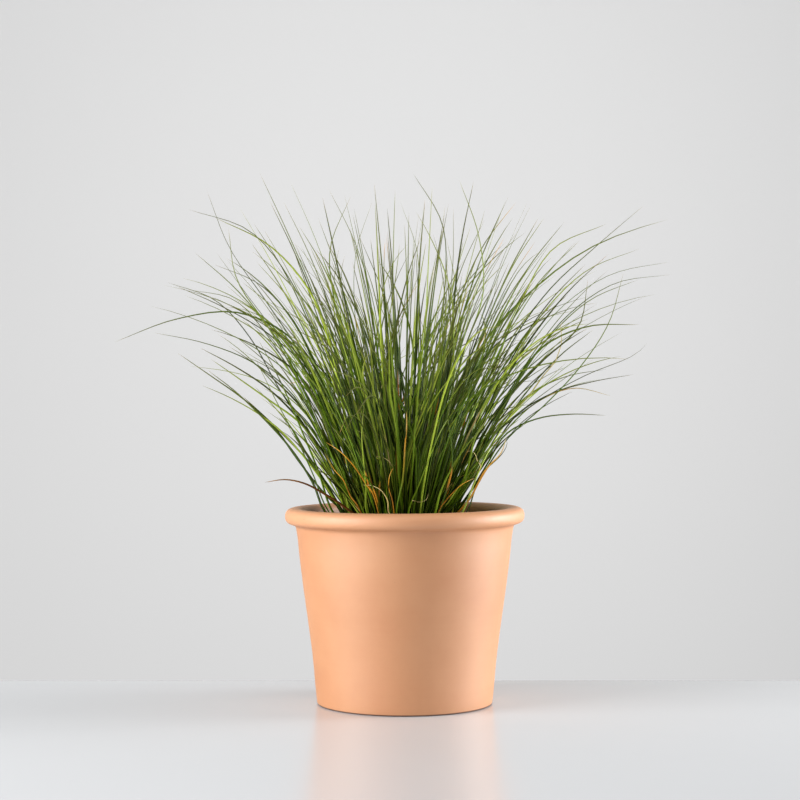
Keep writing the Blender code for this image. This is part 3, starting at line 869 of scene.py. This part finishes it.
SEEN_LEAVES = (
    # Lime green leaves.
    SeenLeaf(Age.FRESH, 0.85, 2.3, ((-38, 190), (-39, 212), (-42, 247), (-43, 271), (-40, 300))),
    SeenLeaf(Age.FRESH, 0.76, 2.4, ((31, 190), (36, 210), (49, 237), (62, 256), (75, 271), (92, 288))),
    SeenLeaf(Age.FRESH, 0.74, 2.1, ((4, 190), (14, 216), (26, 247), (37, 272), (50, 292), (70, 318))),
    # Golden, amber, rust and orange leaves.
    SeenLeaf(Age.TIPPED, 0.5, 2.0, ((-8, 190), (-2, 222), (0, 252), (2, 282), (-1, 303)), dry_from=0.25),
    SeenLeaf(Age.DRY, 0.35, 1.7, ((-11, 190), (-13, 203), (-16, 214), (-15, 227), (-8, 240))),
    SeenLeaf(Age.DRY, 0.3, 1.5, ((-46, 194), (-54, 205), (-61, 221), (-71, 233), (-79, 248))),
    SeenLeaf(Age.DRY, 0.3, 1.5, ((-30, 204), (-38, 217), (-50, 235), (-64, 250), (-79, 260))),
    SeenLeaf(Age.SCORCHED, 0.42, 1.8, ((-30, 210), (-44, 232), (-53, 250), (-64, 265), (-75, 278))),
    SeenLeaf(Age.SCORCHED, 0.42, 1.9, ((-40, 232), (-54, 262), (-63, 283), (-73, 300), (-84, 318))),
    SeenLeaf(Age.SCORCHED, 0.36, 2.0, ((40, 206), (47, 234), (46, 263), (43, 281), (46, 300), (54, 330))),
    SeenLeaf(Age.DRY, 0.32, 1.5, ((34, 190), (40, 200), (48, 209), (58, 218), (70, 224))),
    # Short curls.
    SeenLeaf(Age.DRY, 0.95, 1.3, ((-14, 238), (-19, 243), (-25, 245), (-30, 245)), False),
    SeenLeaf(Age.FRESH, 1.0, 1.2, ((-30, 246), (-34, 259), (-41, 268), (-49, 272)), False),
    SeenLeaf(Age.DRY, 0.92, 1.3, ((-16, 190), (-17, 201), (-23, 211), (-32, 216), (-42, 217)), False),
    SeenLeaf(Age.DRY, 0.9, 1.3, ((7, 201), (14, 200), (21, 202), (24, 209)), False),
    # A curled orange leaf and one with a cream end, at the right.
    SeenLeaf(
        Age.SCORCHED,
        0.3,
        1.6,
        ((62, 190), (70, 212), (76, 226), (81, 233), (88, 239), (97, 248), (102, 257), (101, 263)),
        dry_from=0.62,
    ),
    SeenLeaf(
        Age.TIPPED,
        1.0,
        1.9,
        (
            *((58, 190), (78, 240), (104, 284), (123, 305), (138, 326)),
            *((150, 340), (154, 351), (157, 362), (155, 374), (159, 384)),
        ),
    ),
    # Low leaves at the left.
    SeenLeaf(Age.GROWN, 0.3, 2.4, ((-79, 190), (-92, 220), (-119, 260), (-164, 306), (-197, 332))),
    SeenLeaf(Age.GROWN, 0.4, 2.3, ((-76, 190), (-92, 228), (-109, 265), (-128, 300), (-150, 345))),
    SeenLeaf(Age.FRESH, 0.6, 2.2, ((-72, 190), (-86, 230), (-104, 274), (-124, 320), (-146, 362))),
    # A pale hook at the right.
    SeenLeaf(Age.DRY, 0.88, 1.2, ((74, 232), (72, 242), (70, 248), (65, 251), (60, 248)), False),
)


@dataclass
class GrassClump:
    """The clump: a tuft of leaves for each packed shoot, and the leaves that stand out at its front."""

    finish: GrassLeaf = GrassLeaf()
    sheath: float = 14 * MM
    line_points: int = 30
    filler_points: int = 24
    fillers: int = 14
    stubs: int = 1
    leaf_width: Pair = (1.7 * MM, 2.9 * MM)
    dry_width: float = 0.7
    tone: Pair = (0.38, 0.38)  # its middle and its spread
    fresh_tone: float = 0.22
    # low leaves may go as dark as the painted shade colour; the taller ones stay paler
    low_tone: float = 0.0  # the darkest, for a leaf whose tip is under low_tip
    high_tone: float = 0.2  # the darkest, for the others
    palest_tone: float = 1.02
    low_tip: float = 360 * MM
    scorched_from: Pair = (0.15, 0.45)
    tipped_from: Pair = (0.78, 0.93)
    turning: float = 1.1
    leaf_foot: float = 0.8 * MM
    leaf_stir: float = 4 * MM
    filler_foot: float = 9 * MM
    filler_mix: float = 0.45
    filler_length: Pair = (0.15, 0.95)
    filler_turn: float = 0.35
    crossing: float = 0.25  # the share of fillers that lean across the shoot
    crossing_turn: float = 0.6
    crossing_spread: float = 0.5
    crown_shift: Point = (-6 * MM, 0.0, 0.0)
    filler_spread: Pair = (0.9, 1.88)
    long_narrowing: float = 0.65
    filler_flare: Pair = (0.78, 1.22)
    flattest_rise: float = 1.35
    widest_reach: float = 262 * MM
    parting_low: float = 250 * MM  # the height above which the clump parts in the middle
    parting_rise: float = 60 * MM
    parting_foot: float = -8 * MM
    parting_lean: float = 0.18
    parting_reach: float = 28 * MM
    parting_push: float = 14 * MM
    filler_bend: Pair = (0.2, 0.75)
    filler_end: float = 0.1  # how far short of its highest point it ends
    stub_length: Pair = (12 * MM, 42 * MM)
    stub_width_mm: Pair = (1.0, 1.7)
    stub_lean: Pair = (0.15, 0.75)
    root_depth: float = 4 * MM
    ages: tuple[tuple[Age, float], ...] = (
        (Age.GROWN, 0.64),
        (Age.FRESH, 0.21),
        (Age.TIPPED, 0.06),
        (Age.SCORCHED, 0.09),
    )
    # For a leaf of a shoot, counted from its lowest tip: its age, tone and width in millimetres.
    aged_leaves: Mapping[tuple[str, int], tuple[Age, float, float]] = field(
        default_factory=lambda: {
            ("shoot_06", 0): (Age.DRY, -0.12, 2.7),
            ("shoot_11", 0): (Age.DRY, 0.5, 2.2),
            ("shoot_07", 1): (Age.TIPPED, 0.6, 1.6),
        }
    )
    rim_height: float = 190 * MM
    crown_reach: float = 46 * MM
    front_reach: float = 69 * MM
    front_slope: float = 0.37
    least_front: float = 20 * MM
    front_roll: float = 0.3
    hidden_inward: float = 0.62
    hidden_drop: float = 16 * MM
    seed: int = 11

    def pick_age(self, dice: random.Random) -> Age:
        """Draws how a leaf has aged."""
        kinds, weights = zip(*self.ages)
        return dice.choices(kinds, weights)[0]

    def dressed(self, line: np.ndarray, age: Age, dice: random.Random) -> Leaf:
        """Gives a line its blade.

        Args:
            line: the leaf's line.
            age: how it has aged.
            dice: where its chances come from.

        Returns:
            The leaf.
        """
        outward = math.atan2(line[-1][1] - line[0][1], line[-1][0] - line[0][0])
        tone = dice.gauss(*self.tone) + (self.fresh_tone if age is Age.FRESH else 0)
        dry_from = dice.uniform(*(self.scorched_from if age is Age.SCORCHED else self.tipped_from))
        width = dice.uniform(*self.leaf_width) * (self.dry_width if age is Age.DRY else 1)
        darkest = self.low_tone if line[-1][2] < self.low_tip else self.high_tone
        return Leaf(
            line=line,
            width=width,
            age=age,
            tone=min(self.palest_tone, max(darkest, tone)),
            roll=outward + math.pi / 2 + dice.gauss(0, self.turning),
            twist=dice.gauss(0, self.turning),
            dry_from=dry_from,
        )

    def stirred(self, line: np.ndarray, reach: float, dice: random.Random) -> np.ndarray:
        """Bends a line a little, most at its tip, which may move this far."""
        share = np.linspace(0, 1, len(line))[:, None]
        drift = np.array([dice.uniform(-1, 1), dice.uniform(-1, 1), dice.uniform(-0.5, 0.1)])
        sway = np.array([dice.uniform(-1, 1), dice.uniform(-1, 1), 0])
        wave = np.sin(share * math.tau * dice.uniform(0.4, 0.8) + dice.uniform(0, math.tau)) * share
        return line + reach * (drift * share**3 + 0.2 * sway * wave)

    def parted(self, line: np.ndarray) -> np.ndarray:
        """Bends a line away from the parting that runs through the clump from front to back."""
        above = np.maximum(0, line[:, 2] - self.parting_low)
        aside = line[:, 0] - self.parting_foot - self.parting_lean * above
        middle = np.average(aside, weights=above + 0.1 * MM)
        push = math.copysign(self.parting_push, middle) * math.exp(-((middle / self.parting_reach) ** 2))
        return line + np.outer(push * np.clip(above / self.parting_rise, 0, 1), (1, 0, 0))

    def rooted(self, line: np.ndarray, foot: np.ndarray, spread: float, dice: random.Random) -> np.ndarray:
        """Carries a leaf's line from the sheath's top into the soil, to within a spread of the foot."""
        aside = np.array([dice.uniform(-spread, spread), dice.uniform(-spread, spread), 0])
        start = foot + aside - UP * self.root_depth
        return np.vstack([start, line[:1] + aside * 0.8, line[1:]])

    def filler(self, lines: Sequence[np.ndarray], foot: np.ndarray, dice: random.Random) -> np.ndarray:
        """Leads a leaf between two of a shoot's leaves, turned and leaned its own way.

        Args:
            lines: the lines of the shoot's leaves.
            foot: where the shoot stands.
            dice: where its chances come from.

        Returns:
            The leaf's line.
        """
        one, other = dice.sample(lines, 2)
        share = dice.uniform(0, self.filler_mix)
        knots = self.rooted(one * (1 - share) + other * share, foot, self.filler_foot, dice) - foot
        turn = dice.gauss(0, self.filler_turn)
        cut = dice.uniform(*self.filler_length)
        narrow, wide = self.filler_spread
        spread = dice.uniform(narrow, wide - self.long_narrowing * cut)
        if dice.random() < self.crossing:
            turn = dice.uniform(self.crossing_turn, math.tau - self.crossing_turn)
            spread *= self.crossing_spread
        rise, reach = knots[-1][2], math.hypot(knots[-1][0], knots[-1][1])
        flare = np.linspace(*self.filler_flare, len(knots))
        spread = min(spread, rise / (self.flattest_rise * reach)) * flare
        x = (knots[:, 0] * math.cos(turn) - knots[:, 1] * math.sin(turn)) * spread
        y = (knots[:, 0] * math.sin(turn) + knots[:, 1] * math.cos(turn)) * spread
        placed = np.column_stack([x, y, knots[:, 2]]) + foot + np.array(self.crown_shift)
        path = smooth_line(placed, 2 * self.line_points)
        cut = min(cut, (np.argmax(path[:, 2]) + 1) / len(path) - self.filler_end)
        length = cut * np.linalg.norm(np.diff(path, axis=0), axis=1).sum()
        reach = dice.uniform(*self.filler_bend) * length * cut**3
        line = self.stirred(evened(path, self.filler_points, cut), reach, dice)
        inward = min(1.0, self.widest_reach / np.abs(line[:, :2]).max())
        return line * np.array([inward, inward, 1.0])

    def stub(self, foot: np.ndarray, dice: random.Random) -> Leaf:
        """Grows on a shoot what is left of an old leaf: short, dry and bent outwards."""
        length = dice.uniform(*self.stub_length)
        heading = math.atan2(foot[1], foot[0]) + dice.gauss(0, 0.9)
        outward = np.array([math.cos(heading), math.sin(heading), 0])
        root = foot + outward * dice.uniform(0.5, 3.5) * MM - UP * self.root_depth
        lean = dice.uniform(*self.stub_lean)
        middle = root + length * 0.55 * (UP + outward * lean * 0.6)
        end = root + length * (UP * dice.uniform(0.45, 0.95) + outward * lean * 1.3)
        leaf = self.dressed(smooth_line([root, middle, end], 12), Age.DRY, dice)
        return replace(leaf, tone=dice.uniform(0.1, 0.9), width=dice.uniform(*self.stub_width_mm) * MM)

    def tuft(self, number: int) -> Piece:
        """Builds the tuft of the shoot of this number in the place of its solid."""
        node = f"shoot_{number:02d}"
        shoot = PackedShoot(node)
        dice = random.Random(self.seed * 1000 + number)
        lines = shoot.lines(self.sheath)
        leaves = []
        for index, line in enumerate(lines):
            path = smooth_line(self.rooted(line, shoot.foot, self.leaf_foot, dice), self.line_points)
            path = self.stirred(path, self.leaf_stir, dice)
            if (node, index) in self.aged_leaves:
                age, tone, width = self.aged_leaves[node, index]
                leaf = self.dressed(path, age, dice)
                leaf = replace(leaf, tone=tone, width=width * MM, roll=0, twist=0, dry_from=0.5)
            else:
                leaf = self.dressed(path, self.pick_age(dice), dice)
            leaves.append(leaf)
        for _ in range(self.fillers):
            path = self.parted(self.filler(lines, shoot.foot, dice))
            leaves.append(self.dressed(path, self.pick_age(dice), dice))
        leaves += [self.stub(shoot.foot, dice) for _ in range(self.stubs)]
        piece = self.join(f"tuft_{number:02d}", leaves)
        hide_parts(node)
        return piece

    def join(self, name: str, leaves: Sequence[Leaf]) -> Piece:
        """Joins leaves into one piece of this name."""
        sheet = Sheet()
        for index, leaf in enumerate(leaves):
            leaf.add_to(sheet, tuple((index + end) / len(leaves) for end in STRIP))
        piece = sheet.build(name, self.material, sharp=25)
        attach(piece, BODY)
        return piece

    def sighted(self, x: float, z: float) -> np.ndarray:
        """The place at the clump's front, in metres, that is seen at a point in mm of the axis plane."""
        reach = self.front_reach + self.front_slope * (z * MM - self.rim_height)
        nearer = math.sqrt(max(reach**2 - (x * MM) ** 2, self.least_front**2))
        eye = np.array(EYE)
        return eye + (np.array([x * MM, 0, z * MM]) - eye) * (1 - nearer / -EYE[1])

    def front_leaves(self) -> Piece:
        """Builds the leaves that stand out at the front of the clump."""
        dice = random.Random(self.seed)
        low = min(corner[2] for corner in solid("shoot_01").bound_box) - self.root_depth
        inward = np.array([self.hidden_inward, self.hidden_inward, 1])
        leaves = []
        for seen in SEEN_LEAVES:
            knots = [self.sighted(x, z) for x, z in seen.points]
            level = np.array([knots[0][0], knots[0][1], 0])
            root = level * self.crown_reach / np.linalg.norm(level) + UP * low
            count = self.line_points
            if not seen.foot_seen:
                knots.insert(0, knots[0] * inward - UP * self.hidden_drop)
                root *= inward
                count *= 2
            leaf = self.dressed(smooth_line([root, *knots], count), seen.age, dice)
            roll = dice.gauss(0, self.front_roll)
            leaf = replace(leaf, tone=seen.tone, width=seen.width * MM, roll=roll, dry_from=seen.dry_from)
            leaves.append(leaf)
        return self.join("front_leaves", leaves)

    def build(self) -> list[Piece]:
        """Builds all the tufts and the front leaves."""
        self.material = self.finish.make()
        shoots = sorted(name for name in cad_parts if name.startswith("shoot_"))
        numbers = [int(name.removeprefix("shoot_")) for name in shoots]
        return [*(self.tuft(number) for number in numbers), self.front_leaves()]


@dataclass
class Studio:
    """The table, the backdrop, the soft lamps and the camera."""

    table: PaintedTable = PaintedTable()
    backdrop: PaperBackdrop = PaperBackdrop()
    table_back: float = 0.149
    table_size: Point = (7.0, 0.85, 0.03)
    backdrop_low: Point = (-6.0, 3.6, -3.0)
    backdrop_high: Point = (6.0, 3.62, 5.0)
    softboxes: tuple[tuple[str, Point, Pair, float], ...] = (
        ("left_softbox", (-1.6, -0.82, 0.6), (1.1, 1.3), 54.5),
        ("right_softbox", (1.8, 0.06, 0.35), (0.7, 0.7), 43),
        ("right_back_softbox", (1.74, 0.47, 0.7), (0.7, 1.4), 14),
        ("top_softbox", (0, -1.05, 2.2), (1.6, 1.0), 12.5),
    )
    aim: Point = (0, 0, 0.2)
    camera_dip: float = 0.183
    lens: float = 87.53
    sensor: float = 36.0
    ambient: float = 0.235

    def slab(self, name: str, low: Point, high: Point, material: Material) -> Piece:
        """Builds a plain slab for the stage, between its lowest and its highest corner."""
        xs, ys, zs = zip(low, high)
        verts = np.array([(x, y, z) for x in xs for y in ys for z in zs])
        faces = [(0, 1, 3, 2), (4, 6, 7, 5), (0, 4, 5, 1), (2, 3, 7, 6), (0, 2, 6, 4), (1, 5, 7, 3)]
        sheet = Sheet()
        sheet.extend(verts, faces)
        return sheet.build(name, material, sharp=30)

    def softbox(self, name: str, place: Point, size: Pair, power: float) -> None:
        """Hangs a soft lamp of this breadth and height, and this power in watts, that faces the clump."""
        lamp = bpy.data.lights.new(name, "AREA")
        lamp.shape = "RECTANGLE"
        lamp.size, lamp.size_y = size
        lamp.energy = power
        obj = bpy.data.objects.new(name, lamp)
        obj.location = place
        obj.rotation_euler = (Vector(self.aim) - Vector(place)).to_track_quat("-Z", "Y").to_euler()
        bpy.context.scene.collection.objects.link(obj)

    def build(self) -> list[Piece]:
        """Sets the stage: the table and the backdrop, which it returns, the lamps and the camera."""
        wide, deep, thick = self.table_size
        low, high = (-wide / 2, self.table_back - deep, -thick), (wide / 2, self.table_back, 0)
        table = self.slab("studio_table", low, high, self.table.make())
        backdrop = self.slab("studio_backdrop", self.backdrop_low, self.backdrop_high, self.backdrop.make())
        for softbox in self.softboxes:
            self.softbox(*softbox)
        self.light_room()
        self.set_camera()
        return [table, backdrop]

    def light_room(self) -> None:
        """Fills the room with dim, even light."""
        world = bpy.data.worlds.new("studio room")
        world.use_nodes = True
        background = world.node_tree.nodes["Background"]
        background.inputs["Color"].default_value = (1, 1, 1, 1)
        background.inputs["Strength"].default_value = self.ambient
        bpy.context.scene.world = world
        bpy.context.scene.view_settings.view_transform = "Standard"
        bpy.context.scene.view_settings.look = "None"

    def set_camera(self) -> None:
        """Sets up the camera in front of the pot, dipped a little."""
        data = bpy.data.cameras.new("camera")
        data.sensor_width = self.sensor
        data.lens = self.lens
        camera = bpy.data.objects.new("camera", data)
        camera.location = EYE
        camera.rotation_euler = (math.radians(90 - self.camera_dip), 0, 0)
        bpy.context.scene.collection.objects.link(camera)
        bpy.context.scene.camera = camera


def main() -> None:
    """Builds the dressed part, sub-assembly by sub-assembly, and reports each piece."""
    logging.basicConfig(level=logging.INFO, format="%(name)s: %(message)s")
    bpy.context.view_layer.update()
    for maker in (ClayPot(), PottingSoil(), GrassClump(), Studio()):
        built = maker.build()
        for piece in built if isinstance(built, list) else [built]:
            log.info("%s: %d faces", piece.name, len(piece.data.polygons))


if __name__ == "__main__":
    main()
